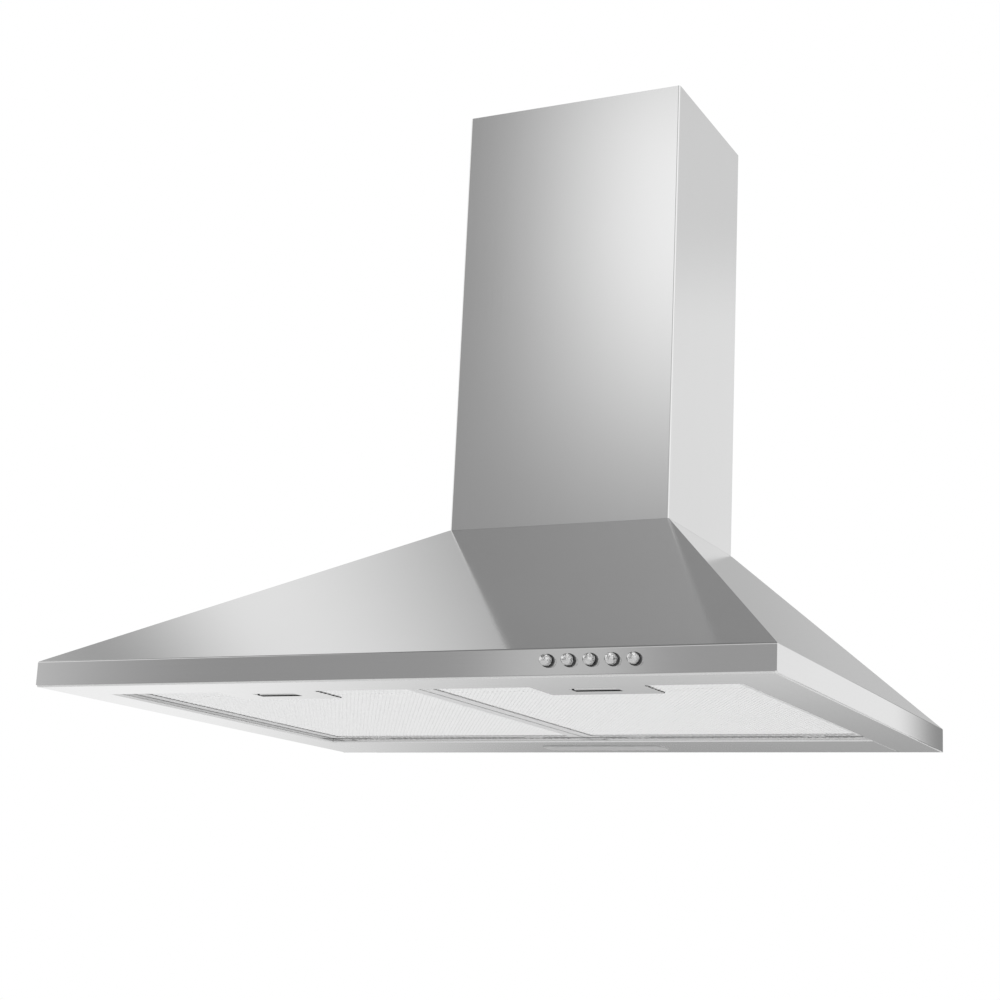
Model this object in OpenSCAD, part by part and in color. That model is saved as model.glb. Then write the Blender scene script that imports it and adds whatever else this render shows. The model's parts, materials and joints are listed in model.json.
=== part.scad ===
// Wall-mounted chimney range hood with two swing-down grease filters and a telescopic chimney.
// X runs to the right, Y towards the wall and Z up. The origin lies on the wall plane, on the
// centre line, level with the underside of the canopy.

/* [Canopy] */
// Width of the canopy
canopy_w = 600; // [590:10:900]
// Depth of the canopy, from the wall to the front rim
canopy_d = 480; // [470:5:520]
// Height of the upright rim
rim_h = 20; // [20:1:40]
// Height of the sloping part above the rim
slope_h = 162; // [160:1:260]
// Thickness of the steel sheet
sheet_t = 1; // [0.8:0.1:1.2]
// Outside radius of a fold in the sheet
fold_r = 1.6; // [1.3:0.1:3]
// Width of the inward flange round the top of the canopy
top_flange = 12; // [8:1:20]
// Radius of the relief hole at each front corner of the underside
relief_r = 1.2; // [0.8:0.1:2]

/* [Underside] */
// Width of the underside return at the left and the right
side_return = 39; // [30:1:50]
// Width of the underside return at the front
front_return = 48; // [44:1:60]
// Width of the lamp panel at the rear
rear_return = 88; // [80:1:110]
// Height of the upturned lip round the filter opening
lip_h = 12; // [11:1:18]
// Gap between two sheet parts that are slid together
sheet_gap = 0.2; // [0.1:0.1:0.5]

/* [Chimney] */
// Width of the chimney cover
chimney_w = 210; // [200:5:260]
// Depth of the chimney cover
chimney_d = 166; // [160:2:200]
// Height of the chimney cover
chimney_h = 400; // [350:10:600]
// Gap between the chimney cover and the wall
wall_gap = 3; // [2:0.5:6]
// Width of the rear returns of the chimney cover
cover_return = 15; // [10:1:18]
// Gap between the cover and the extension that slides in it
slide_gap = 2.5; // [2:0.1:4]
// Height of the extension
extension_h = 380; // [300:10:390]
// Width of the rear returns of the extension
extension_return = 25; // [22:1:30]
// Gap under or beside a piece that is only set in its place
seat_gap = 0.3; // [0.2:0.1:0.5]

/* [Extension bracket] */
// Height of the wall bracket
bracket_h = 25; // [18:1:40]
// Thickness of the wall bracket
bracket_t = 2; // [1.5:0.1:2.5]
// Distance from the top of the extension to the top of the bracket
bracket_drop = 18; // [10:1:40]
// Distance between the wall holes of the bracket
bracket_pitch = 110; // [80:5:120]
// Radius of the wall holes of the bracket
bracket_hole_r = 2.5; // [2:0.1:3.5]

/* [Wall holes] */
// Distance between the wall holes across the hood
wall_pitch_x = 200; // [180:5:220]
// Distance between the upper and lower wall holes
wall_pitch_z = 80; // [60:5:90]
// Height of the middle of the wall holes
wall_hole_z = 95; // [85:1:100]
// Radius of a wall hole
wall_hole_r = 4; // [3:0.5:6]

/* [Top plate and outlet] */
// Thickness of the top plate
plate_t = 1.2; // [1:0.1:2]
// Height of the upstand that locates the chimney cover
upstand_h = 10; // [6:1:20]
// Outside radius of the outlet collar
collar_r = 60; // [55:1:62]
// Wall of the outlet collar
collar_wall = 1.8; // [1.5:0.1:2.5]
// Height of the outlet collar above its flange
collar_h = 43; // [35:1:60]
// Thickness of the collar's flange
collar_flange_t = 2; // [1.5:0.1:4]
// Radius of the collar's flange
collar_flange_r = 72; // [72:1:76]
// Radius of the damper spindle
spindle_r = 1.5; // [1.2:0.1:2]
// Height of the damper spindle above the collar's flange
spindle_rise = 11; // [8:1:16]
// Thickness of a damper flap
flap_t = 1; // [0.8:0.1:1.5]
// Half the length of the rear flap's knuckle, in the middle of the spindle
knuckle_mid = 19; // [14:1:24]
// How far the front flap's two knuckles reach along the spindle, from its middle
knuckle_end = 50; // [44:1:51]
// Width of the seal ring that the flaps close onto
seal_w = 3; // [2:0.5:4]
// Height of the seal ring
seal_h = 3.2; // [2:0.1:4]
// Radial clearance of a shaft or pin in its bore
running_gap = 0.05; // [0.03:0.01:0.1]

/* [Blower] */
// Sideways place of the blower's axis
blower_x = -41; // [-42:0.5:-38]
// Height of the blower's axis
blower_z = 92; // [90:1:96]
// Inside width of the scroll housing
scroll_w = 74; // [70:1:80]
// Least inside radius of the scroll
scroll_r = 64; // [62:1:66]
// Growth of the scroll's radius each quarter turn
scroll_step = 6; // [4:0.5:6]
// Wall of the scroll housing
scroll_wall = 1.5; // [1.2:0.1:2]
// Radius of each air inlet
inlet_r = 42; // [40:1:43]
// Outside radius of the impeller
impeller_r = 56; // [52:1:57]
// Width of the impeller
impeller_w = 64; // [54:1:65]
// Number of blades on the impeller
blade_count = 24; // [16:1:32]
// Radial length of a blade
blade_l = 10; // [8:0.5:11]
// Thickness of a blade
blade_t = 1.2; // [1:0.1:1.5]
// Angle of a blade to the radius
blade_angle = 35; // [20:5:45]
// Thickness of an end ring of the impeller
ring_t = 2; // [1.5:0.1:2.5]
// Thickness of the impeller's middle disc
disc_t = 2.5; // [2:0.1:3]
// Radius of the impeller's hub
hub_r = 12; // [10:0.5:14]
// Length of the hub in front of the disc
hub_l = 10; // [6:0.5:14]
// Height of the nut on the hub
nut_h = 5; // [4:0.5:6]
// Radius of the motor body
motor_r = 34; // [28:1:36]
// Radius of the motor shaft
shaft_r = 4; // [3:0.5:6]
// Thickness of the plate that carries the motor
arm_t = 2; // [1.5:0.1:2.5]
// Thickness of a rubber bush under a motor arm
bush_t = 3; // [2:0.5:5]
// Radius of a fixing screw's shank
screw_r = 2; // [1.5:0.1:2.5]

/* [Electrics] */
// Width of the junction box
box_w = 70; // [60:1:80]
// Depth of the junction box from the back panel
box_d = 30; // [26:1:38]
// Height of the junction box
box_h = 45; // [40:1:55]
// Left side of the junction box, from the middle of the hood
box_x0 = -190; // [-195:1:-185]
// Height of the junction box above the underside
box_z0 = 30; // [27:1:34]
// Wall of the plastic boxes
plastic_wall = 2; // [1.5:0.1:2.5]
// Bore radius of the cable gland
gland_bore_r = 3.8; // [3:0.1:4]
// Length of the cable gland above the top plate
gland_l = 18; // [12:1:24]
// Height of the nut under the cable gland
gland_nut_h = 4; // [3:0.5:6]
// Distance from the wall to the cable gland
gland_inset = 30; // [22:1:40]
// Radius of the motor capacitor
capacitor_r = 15; // [12:0.5:18]
// Length of the motor capacitor
capacitor_l = 50; // [40:1:60]
// Sideways place of the motor capacitor
capacitor_x = 155; // [140:1:165]
// Height of the motor capacitor above the underside
capacitor_z = 32; // [24:1:36]
// Thickness of the capacitor's clip
clip_t = 1.2; // [1:0.1:1.5]

/* [Buttons] */
// Number of push buttons
button_count = 5; // [4:1:6]
// Distance between two buttons
button_pitch = 16; // [14:0.5:20]
// Distance from the right-hand button to the right end of the rim
button_inset = 98.2; // [85:0.1:140]
// Height of the buttons above the underside
button_z = 11.3; // [10:0.1:13]
// Radius of a button
button_r = 4; // [3:0.1:4.5]
// How far a button stands out of the rim
button_out = 9; // [5:0.5:12]
// Travel of a button
button_travel = 3; // [2:0.5:3.5]
// Radial gap between a button and its hole in the rim
button_gap = 0.5; // [0.3:0.1:0.8]
// Length of a button's stem
stem_l = 11; // [8:0.5:14]
// Depth of the switch bank
bank_d = 32; // [26:1:34]
// Thickness of the bracket under the switch bank
bank_base_t = 1.2; // [1:0.1:1.5]

/* [Lamp] */
// Width of the lamp cover
lamp_w = 117; // [100:1:140]
// Depth of the lamp cover
lamp_d = 33; // [28:1:40]
// Distance from the wall to the middle of the lamp
lamp_y = 40.5; // [38:0.5:46]
// How far the lamp cover stands below the underside
lamp_proud = 1; // [0.5:0.1:2]
// Width of the cover's flange beyond the cut-out
lamp_flange = 3.5; // [2:0.1:5]
// Height of the lamp housing above the panel
lamp_h = 15; // [12:1:15]
// Wall of the lamp housing
lamp_wall = 1.5; // [1:0.1:2]
// Thickness of the lamp board
board_t = 1.6; // [1:0.1:2]
// Distance from an end of the lamp housing to its board
board_end_gap = 10; // [5:1:14]
// Distance from a side of the lamp housing to its board
board_side_gap = 6.5; // [3:0.5:8]
// Number of lamp chips
led_count = 6; // [4:1:8]

/* [Filters] */
// Thickness of a filter
filter_t = 8; // [7.5:0.5:8.5]
// Depth that the filters sit above the underside
filter_recess = 4; // [3.5:0.1:4.4]
// Gap between a filter and the lip round it
filter_gap = 1; // [0.8:0.1:1.5]
// Gap at the rear of a filter, where its hooks lie
hook_gap = 2; // [2:0.1:2.4]
// Gap between the two filters
middle_gap = 1.5; // [1:0.1:3]
// Width of the filter's border
border_w = 10; // [8:0.5:14]
// Thickness of the border below the mesh
border_t = 0.8; // [0.6:0.1:1]
// Thickness of the filter frame's sheet
frame_t = 0.8; // [0.6:0.1:1]
// Thickness of one mesh layer
mesh_t = 0.5; // [0.4:0.1:0.8]
// Number of mesh layers
mesh_layers = 3; // [2:1:4]
// Distance between the drain slots of a filter
drain_pitch = 6.2; // [5.5:0.1:14]
// Length of a drain slot
drain_l = 4; // [3:0.1:4.5]
// Width of a drain slot
drain_w = 4; // [2:0.1:5]
// Distance from the mesh to the drain slots
drain_inset = 2; // [1:0.1:2.5]
// Sideways distance of each hook from the filter's middle
hook_x = 80; // [60:1:95]
// Width of a hook
hook_w = 20; // [12:1:26]
// Thickness of a hook
hook_t = 1; // [0.8:0.1:1.2]
// Length of a hook behind the bead
hook_l = 6; // [5:0.5:7]
// Height of the slot that a hook passes through
hook_slot_h = 6; // [5.5:0.5:6.5]
// Radius of the bead that a filter turns on
bead_r = 0.9; // [0.8:0.05:0.95]

/* [Latches] */
// Width of the latch plate
latch_w = 89; // [80:1:110]
// Length of the latch plate
latch_l = 56; // [50:1:64]
// Thickness of the latch plate
latch_t = 1; // [0.8:0.1:1.2]
// Sideways distance of the latch from the hood's middle
latch_x = 135.5; // [125:0.5:140]
// Width of the finger pocket
pocket_w = 37; // [34:1:46]
// Length of the deep front part of the finger pocket, where a fingertip goes in
finger_l = 5.5; // [4.5:0.1:8]
// Length of the hollow ramp of the slide that the fingertip pushes back
ramp_l = 4.7; // [4:0.1:7]
// Distance from the rear of the latch plate to the pocket
pocket_inset = 16; // [12:1:18]
// Depth of the finger pocket above the latch plate
pocket_h = 5; // [4:0.1:5.2]
// Wall of the finger pocket
pocket_wall = 1; // [0.8:0.1:1.2]
// Travel of the latch
latch_travel = 5; // [3:0.5:6]
// Width of the latch tongue
tongue_w = 30; // [20:1:32]
// Thickness of the latch slide
tongue_t = 1.5; // [1:0.1:1.6]

/* [Hidden] */
$fn = 64;
BUTTONS = [for (i = [1:button_count]) str("button_", i)];

steel = "silver";
dark_steel = "gray";
galvanised = "lightgray";
chrome = "whitesmoke";
black_plastic = "dimgray";
white_plastic = "white";
aluminium = "gainsboro";

// How far a cut runs past the face that it opens
cut = 1;
canopy_top = rim_h + slope_h;
opening_x = canopy_w / 2 - side_return;
opening_front = -canopy_d + front_return;
opening_rear = -rear_return;
chimney_front = -wall_gap - chimney_d;
chimney_rear = -wall_gap;
chimney_mid = (chimney_front + chimney_rear) / 2;
hip_apex_y = -canopy_d + (canopy_w / 2) * (canopy_d + chimney_front) / (canopy_w / 2 - chimney_w / 2);

// A folded strip of sheet in 2-D. path is the outer face, in an order that turns right at each
// fold, and the sheet lies on its right-hand side. Each fold is an arc of outside radius r.
fold_steps = 6;
function heading(a, b) = (b - a) / norm(b - a);
function right_of(d) = [d[1], -d[0]];
function fold_arc(corner, d1, d2, r, depth) =
    let (turn = acos(d1 * d2), centre = corner - d1 * r * tan(turn / 2) + right_of(d1) * r)
    [for (k = [0:fold_steps]) let (a = k * turn / fold_steps)
        centre + (r - depth) * (d1 * sin(a) - right_of(d1) * cos(a))];
function fold_face(path, r, depth) =
    let (n = len(path), d = [for (i = [0:n - 2]) heading(path[i], path[i + 1])])
    concat([path[0] + right_of(d[0]) * depth],
        [for (i = [1:n - 2]) each fold_arc(path[i], d[i - 1], d[i], r, depth)],
        [path[n - 1] + right_of(d[n - 2]) * depth]);
module folded(path, t, r) {
    inner = fold_face(path, r, t);
    polygon(concat(fold_face(path, r, 0), [for (i = [len(inner) - 1:-1:0]) inner[i]]));
}

// Extrudes a (y, z) outline along X, centred
module along_x(w) {
    translate([-w / 2, 0, 0]) rotate([90, 0, 90]) linear_extrude(w) children();
}
// Extrudes an (x, z) outline along Y, from y0 to y1
module along_y(y0, y1) {
    translate([0, y1, 0]) rotate([90, 0, 0]) linear_extrude(y1 - y0) children();
}
// A box from its low corner to its high corner
module block(low, high) {
    translate(low) cube(high - low);
}
// A cylinder along Y, from y0 to y1
module rod_y(x, z, y0, y1, r) {
    translate([x, y1, z]) rotate([90, 0, 0]) cylinder(r = r, h = y1 - y0);
}
// A cylinder along X, from x0 to x1
module rod_x(x0, x1, y, z, r) {
    translate([x0, y, z]) rotate([0, 90, 0]) cylinder(r = r, h = x1 - x0);
}
// A pan-head screw that points down, with the underside of its head at the origin
head_r = 1.8 * screw_r;
head_h = 1.2 * screw_r;
screw_end = 2;
module pan_screw(shank) {
    rotate_extrude() polygon([[0, -shank], [screw_r, -shank], [screw_r, 0], [head_r, 0],
        [head_r, head_h / 2], [0.7 * head_r, head_h], [0, head_h]]);
}

// Canopy: the front and the two sides are folded alike, and meet at the hips and mitres. The outline
// runs from the lip round the opening, under the rim, up the rim and the slope to the top flange.
function canopy_path(edge, inner, top) = [[inner, lip_h], [inner, 0], [edge, 0], [edge, rim_h],
    [top, canopy_top], [top + top_flange, canopy_top]];
// What lies in front of the hips and, lower down, in front of the mitres of the returns
module front_wedge() {
    mitre_top = (lip_h + rim_h) / 2;
    front_edge = [[-canopy_w / 2, -canopy_d], [-canopy_w / 2, -canopy_d - cut],
        [canopy_w / 2, -canopy_d - cut], [canopy_w / 2, -canopy_d]];
    translate([0, 0, mitre_top]) linear_extrude(canopy_top + cut - mitre_top)
        polygon(concat(front_edge, [[0, hip_apex_y]]));
    translate([0, 0, -cut]) linear_extrude(mitre_top + cut)
        polygon(concat(front_edge, [[opening_x, opening_front], [-opening_x, opening_front]]));
}
module corner_reliefs() {
    for (s = [-1, 1]) translate([s * canopy_w / 2, -canopy_d, -cut])
        cylinder(r = relief_r, h = cut + fold_r);
}
module canopy_front() color(steel) difference() {
    intersection() {
        along_x(canopy_w) folded(canopy_path(-canopy_d, opening_front, chimney_front), sheet_t, fold_r);
        front_wedge();
    }
    corner_reliefs();
    top_plate_screw_holes();
    for (i = [1:button_count])
        rod_y(button_x(i), button_z, -canopy_d - cut, rim_inside + cut, button_r + button_gap);
}
module canopy_left() color(steel) difference() {
    along_y(-canopy_d, -sheet_t)
        folded(canopy_path(-canopy_w / 2, -opening_x, -chimney_w / 2), sheet_t, fold_r);
    front_wedge();
    corner_reliefs();
    top_plate_screw_holes();
    panel_screw_holes();
}
module canopy_right() mirror([1, 0, 0]) canopy_left();

// Back panel, flat against the wall, with a flange under the top plate
module back_panel() color(galvanised) {
    flange_x = chimney_w / 2 - top_flange - sheet_t;
    difference() {
        along_y(-sheet_t, 0) polygon([[-canopy_w / 2, 0], [canopy_w / 2, 0], [canopy_w / 2, rim_h],
            [chimney_w / 2, canopy_top], [-chimney_w / 2, canopy_top], [-canopy_w / 2, rim_h]]);
        for (sx = [-1, 1], sz = [-1, 1])
            rod_y(sx * wall_pitch_x / 2, wall_hole_z + sz * wall_pitch_z / 2, -sheet_t - cut, cut,
                wall_hole_r);
    }
    difference() {
        block([-flange_x, -top_flange - sheet_t, canopy_top - sheet_t], [flange_x, -sheet_t, canopy_top]);
        top_plate_screw_holes();
    }
}

// Lamp panel between the side returns at the rear, with lips on all four sides
panel_x = opening_x - sheet_gap;
panel_screw_y = [-0.75 * rear_return, -0.25 * rear_return];
panel_screw_z = lip_h / 2;
module panel_screw_holes() {
    for (y = panel_screw_y)
        rod_x(-opening_x - sheet_t - cut, -panel_x + sheet_t + cut, y, panel_screw_z, screw_r + running_gap);
}
module hook_slots() {
    for (s = [-1, 1], h = [-1, 1]) {
        x = s * filter_mid + h * hook_x;
        block([x - hook_slot_w / 2, opening_rear - cut, hook_slot_z],
            [x + hook_slot_w / 2, opening_rear + sheet_t + cut, hook_slot_z + hook_slot_h]);
    }
}
module rear_panel() color(steel) difference() {
    union() {
        along_x(2 * panel_x)
            folded([[-sheet_t, lip_h], [-sheet_t, 0], [opening_rear, 0], [opening_rear, lip_h]],
                sheet_t, fold_r);
        for (s = [0, 1]) mirror([s, 0, 0])
            block([panel_x - sheet_t, opening_rear + fold_r, 0], [panel_x, -sheet_t - fold_r, lip_h]);
    }
    for (s = [0, 1]) mirror([s, 0, 0]) panel_screw_holes();
    hook_slots();
    block([-lamp_w / 2 + lamp_flange, -lamp_y - lamp_d / 2 + lamp_flange, -cut],
        [lamp_w / 2 - lamp_flange, -lamp_y + lamp_d / 2 - lamp_flange, sheet_t + cut]);
}
module rear_panel_screws() color(chrome) {
    for (s = [0, 1], y = panel_screw_y) mirror([s, 0, 0])
        translate([-panel_x + sheet_t, y, panel_screw_z]) rotate([0, 90, 0])
            pan_screw(2 * sheet_t + sheet_gap + screw_end);
}

// Plate that closes the top of the canopy and carries the blower, the collar, the gland and the chimney
plate_x = chimney_w / 2 - sheet_t - sheet_gap;
plate_front = chimney_front + sheet_t + sheet_gap;
plate_rear = chimney_rear - 2 * sheet_t;
plate_top = canopy_top + plate_t;
flange_mid = top_flange / 2 + 2 * sheet_t;
top_screw_at = [
    for (s = [-1, 1], y = [chimney_front + 0.3 * chimney_d, chimney_front + 0.8 * chimney_d])
        [s * (chimney_w / 2 - flange_mid), y],
    for (s = [-1, 1]) [s * 0.25 * chimney_w, chimney_front + flange_mid],
    for (s = [-1, 1]) [s * 0.3 * chimney_w, -flange_mid]];
module top_plate_screw_holes() {
    for (p = top_screw_at) translate([p[0], p[1], canopy_top - sheet_t - cut])
        cylinder(r = screw_r + running_gap, h = sheet_t + plate_t + 2 * cut);
}
module top_plate() color(galvanised) difference() {
    union() {
        block([-plate_x, plate_front, canopy_top], [plate_x, plate_rear, plate_top]);
        for (s = [0, 1]) mirror([s, 0, 0])
            block([plate_x - sheet_t, plate_front, canopy_top], [plate_x, plate_rear, plate_top + upstand_h]);
        block([-plate_x, plate_front, canopy_top], [plate_x, plate_front + sheet_t, plate_top + upstand_h]);
    }
    block([outlet_x0, scroll_front_y, canopy_top - cut], [outlet_x1, scroll_rear_y, plate_top + cut]);
    top_plate_screw_holes();
    collar_screw_holes();
    translate([gland_x, gland_y, canopy_top - cut])
        cylinder(r = gland_spigot_r + running_gap, h = plate_t + 2 * cut);
}
module top_plate_screws() color(chrome) {
    for (p = top_screw_at) translate([p[0], p[1], canopy_top - sheet_t]) rotate([180, 0, 0])
        pan_screw(sheet_t + plate_t);
}

// Chimney: an outer cover on the canopy and an extension that slides up inside it
function chimney_path(half_w, front, rear, back_return) = [[half_w - back_return, rear], [half_w, rear],
    [half_w, front], [-half_w, front], [-half_w, rear], [-half_w + back_return, rear]];
module chimney_cover() color(steel) translate([0, 0, canopy_top]) linear_extrude(chimney_h)
    folded(chimney_path(chimney_w / 2, chimney_front, chimney_rear, cover_return), sheet_t, fold_r);

extension_x = chimney_w / 2 - sheet_t - slide_gap;
extension_front = chimney_front + sheet_t + slide_gap;
extension_rear = chimney_rear - sheet_t - slide_gap;
extension_z = plate_top + seat_gap;
extension_top = extension_z + extension_h;
bracket_z0 = extension_top - bracket_drop - bracket_h;
bracket_z1 = bracket_z0 + bracket_h;
bracket_mid_z = bracket_z0 + bracket_h / 2;
// The bracket's ears reach behind the extension's returns, and stay clear of the cover's returns
ear_x1 = chimney_w / 2 - cover_return - 2 * sheet_t;
ear_x0 = extension_x - extension_return - bracket_t;
bracket_screw_x = (extension_x - extension_return + ear_x1) / 2;
module bracket_screw_holes() {
    for (s = [-1, 1]) rod_y(s * bracket_screw_x, bracket_mid_z, extension_rear - sheet_t - cut,
        extension_rear + bracket_t + cut, screw_r + running_gap);
}
module chimney_extension() color(steel) difference() {
    translate([0, 0, extension_z]) linear_extrude(extension_h)
        folded(chimney_path(extension_x, extension_front, extension_rear, extension_return), sheet_t, fold_r);
    bracket_screw_holes();
}
module extension_bracket() color(galvanised) difference() {
    union() {
        block([-ear_x0, -bracket_t, bracket_z0], [ear_x0, 0, bracket_z1]);
        for (s = [0, 1]) mirror([s, 0, 0]) {
            block([ear_x0 - bracket_t, extension_rear, bracket_z0], [ear_x0, 0, bracket_z1]);
            block([ear_x0 - bracket_t, extension_rear, bracket_z0],
                [ear_x1, extension_rear + bracket_t, bracket_z1]);
        }
    }
    bracket_screw_holes();
    for (s = [-1, 1]) rod_y(s * bracket_pitch / 2, bracket_mid_z, -bracket_t - cut, cut, bracket_hole_r);
}
module bracket_screws() color(chrome) {
    for (s = [-1, 1]) translate([s * bracket_screw_x, extension_rear - sheet_t, bracket_mid_z])
        rotate([90, 0, 0]) pan_screw(sheet_t + bracket_t + screw_end / 4);
}

// Blower: a scroll housing with an inlet on each side, which blows up through the top plate
scroll_front_y = chimney_mid - scroll_w / 2;
scroll_rear_y = chimney_mid + scroll_w / 2;
outlet_x0 = blower_x + scroll_step / 2;
outlet_x1 = blower_x + scroll_step / 2 + scroll_r + 2 * scroll_step;
// The inside of the scroll, grown by wall. Its radius grows by one step each quarter turn.
module scroll_outline(wall) {
    half = scroll_step / 2;
    rise = canopy_top - blower_z;
    quarters = [[-half, -half, scroll_r, 90], [half, -half, scroll_r + scroll_step, 180],
        [half, half, scroll_r + 2 * scroll_step, 270]];
    translate([blower_x, blower_z]) {
        for (q = quarters) translate([q[0], q[1]]) rotate(q[3]) intersection() {
            circle(q[2] + wall, $fn = 96);
            square(q[2] + wall);
        }
        translate([-half, -half]) square([scroll_step, scroll_r + wall]);
        translate([half - wall, half]) square([scroll_r + 2 * scroll_step + 2 * wall, rise - half]);
    }
}
module scroll_band() color(galvanised) along_y(scroll_front_y, scroll_rear_y) difference() {
    scroll_outline(scroll_wall);
    scroll_outline(0);
}
// The rolled edge of an inlet reaches in to just short of the impeller
bellmouth_l = (scroll_w - impeller_w) / 2 - 1;
module scroll_side() {
    along_y(0, scroll_wall) difference() {
        scroll_outline(scroll_wall);
        translate([blower_x, blower_z]) circle(inlet_r);
    }
    along_y(-bellmouth_l, scroll_wall) translate([blower_x, blower_z]) difference() {
        circle(inlet_r + scroll_wall);
        circle(inlet_r);
    }
}
module scroll_front() color(galvanised) translate([0, scroll_front_y, 0]) mirror([0, 1, 0]) scroll_side();
module scroll_rear() color(galvanised) difference() {
    translate([0, scroll_rear_y, 0]) scroll_side();
    for (a = arm_angles) at_arm(a)
        rod_y(0, 0, scroll_rear_y - cut, scroll_rear_y + scroll_wall + cut, screw_r + running_gap);
}

// Motor, carried by three arms on rubber bushes behind the rear inlet
arm_angles = [30, 150, 270];
arm_r = inlet_r + 9;
arm_w = 12;
arm_end_r = 8;
bush_r = 6;
bush_y = scroll_rear_y + scroll_wall;
arm_y = bush_y + bush_t;
ring_w = 4;
hub_gap = 2;
motor_rim_t = 1.5;
disc_y1 = chimney_mid;
motor_y0 = disc_y1 + 2 * hub_gap;
motor_y1 = arm_y + arm_t + motor_rim_t;
module at_arm(a) {
    translate([blower_x + arm_r * cos(a), 0, blower_z + arm_r * sin(a)]) children();
}
module motor_arms() color(dark_steel) difference() {
    union() {
        rod_y(blower_x, blower_z, arm_y, arm_y + arm_t, motor_r + ring_w);
        for (a = arm_angles) {
            at_arm(a) rod_y(0, 0, arm_y, arm_y + arm_t, arm_end_r);
            translate([blower_x, arm_y, blower_z]) rotate([0, -a, 0])
                block([motor_r + ring_w / 2, 0, -arm_w / 2], [arm_r, arm_t, arm_w / 2]);
        }
    }
    rod_y(blower_x, blower_z, arm_y - cut, arm_y + arm_t + cut, motor_r + running_gap);
    for (a = arm_angles) at_arm(a) rod_y(0, 0, arm_y - cut, arm_y + arm_t + cut, screw_r + running_gap);
}
module motor_bushes() color(black_plastic) {
    for (a = arm_angles) at_arm(a) difference() {
        rod_y(0, 0, bush_y, arm_y, bush_r);
        rod_y(0, 0, bush_y - cut, arm_y + cut, screw_r + running_gap);
    }
}
module motor_screws() color(chrome) {
    for (a = arm_angles) at_arm(a) translate([0, arm_y + arm_t, 0]) rotate([-90, 0, 0])
        pan_screw(arm_t + bush_t + scroll_wall + screw_end);
}
module motor_body() color(dark_steel) difference() {
    length = motor_y1 - motor_y0;
    end_round = 4;
    translate([blower_x, motor_y0, blower_z]) rotate([-90, 0, 0]) rotate_extrude() polygon([
        [0, 0], [motor_r - end_round, 0], [motor_r, end_round], [motor_r, length - motor_rim_t],
        [motor_r + ring_w - 1, length - motor_rim_t], [motor_r + ring_w - 1, length],
        [motor_r - 1.5 * end_round, length + 2 * motor_rim_t], [0, length + 2 * motor_rim_t]]);
    rod_y(blower_x, blower_z, motor_y0 - cut, shaft_y1 + cut, shaft_r + running_gap);
}

// Impeller: blades between a middle disc and two end rings, on a hub that is held by a nut
disc_y0 = disc_y1 - disc_t;
hub_y0 = disc_y0 - hub_l;
impeller_y0 = chimney_mid - impeller_w / 2;
impeller_y1 = chimney_mid + impeller_w / 2;
shaft_y1 = motor_y1 - 9;
blade_mid_r = impeller_r - blade_l / 2 - 0.8;
ring_bore_r = impeller_r - blade_l - 1.5;
module motor_shaft() color(chrome) rod_y(blower_x, blower_z, hub_y0 - nut_h - 1, shaft_y1, shaft_r);
module impeller_disc() color(aluminium) difference() {
    union() {
        rod_y(blower_x, blower_z, disc_y0, disc_y1, impeller_r);
        rod_y(blower_x, blower_z, hub_y0, disc_y1 + hub_gap, hub_r);
    }
    rod_y(blower_x, blower_z, hub_y0 - cut, disc_y1 + hub_gap + cut, shaft_r + running_gap / 2);
}
module impeller_rings() color(aluminium) {
    for (y = [impeller_y0, impeller_y1 - ring_t]) difference() {
        rod_y(blower_x, blower_z, y, y + ring_t, impeller_r);
        rod_y(blower_x, blower_z, y - cut, y + ring_t + cut, ring_bore_r);
    }
}
module impeller_blades() color(aluminium) {
    for (span = [[impeller_y0 + ring_t, disc_y0], [disc_y1, impeller_y1 - ring_t]], i = [0:blade_count - 1])
        along_y(span[0], span[1]) translate([blower_x, blower_z]) rotate(i * 360 / blade_count)
            translate([blade_mid_r, 0]) rotate(blade_angle) square([blade_l, blade_t], center = true);
}
module impeller_nut() color(chrome) difference() {
    translate([blower_x, hub_y0, blower_z]) rotate([90, 0, 0])
        cylinder(r = 1.8 * shaft_r, h = nut_h, $fn = 6);
    rod_y(blower_x, blower_z, hub_y0 - nut_h - cut, hub_y0 + cut, shaft_r + running_gap / 2);
}

// Outlet collar with a seal ring, and a two-flap damper on one spindle
collar_z = plate_top + collar_flange_t;
collar_bore_r = collar_r - collar_wall;
collar_screw_inset = 6;
spindle_z = collar_z + spindle_rise;
collar_screw_at = [for (a = [0:90:270])
    [0, chimney_mid] + (collar_flange_r - collar_screw_inset) * [cos(a), sin(a)]];
module collar_screw_holes() {
    for (p = collar_screw_at) translate([p[0], p[1], canopy_top - cut])
        cylinder(r = screw_r + running_gap, h = plate_t + collar_flange_t + 2 * cut);
}
module outlet_collar() color(black_plastic) difference() {
    translate([0, chimney_mid, plate_top]) {
        cylinder(r = collar_flange_r, h = collar_flange_t, $fn = 96);
        cylinder(r = collar_r, h = collar_flange_t + collar_h, $fn = 96);
    }
    translate([0, chimney_mid, plate_top - cut])
        cylinder(r = collar_bore_r, h = collar_flange_t + collar_h + 2 * cut, $fn = 96);
    collar_screw_holes();
    rod_x(-collar_r - cut, collar_r + cut, chimney_mid, spindle_z, spindle_r + running_gap / 2);
}
module collar_screws() color(chrome) {
    for (p = collar_screw_at) translate([p[0], p[1], collar_z])
        pan_screw(collar_flange_t + plate_t + screw_end / 2);
}
module damper_seal() color(black_plastic) difference() {
    seal_top = spindle_z - flap_t / 2 - seat_gap;
    translate([0, chimney_mid, seal_top - seal_h]) difference() {
        cylinder(r = collar_bore_r - running_gap, h = seal_h, $fn = 96);
        translate([0, 0, -cut]) cylinder(r = collar_bore_r - seal_w, h = seal_h + 2 * cut, $fn = 96);
    }
    rod_x(-collar_r, collar_r, chimney_mid, spindle_z, spindle_r + running_gap);
}
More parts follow.
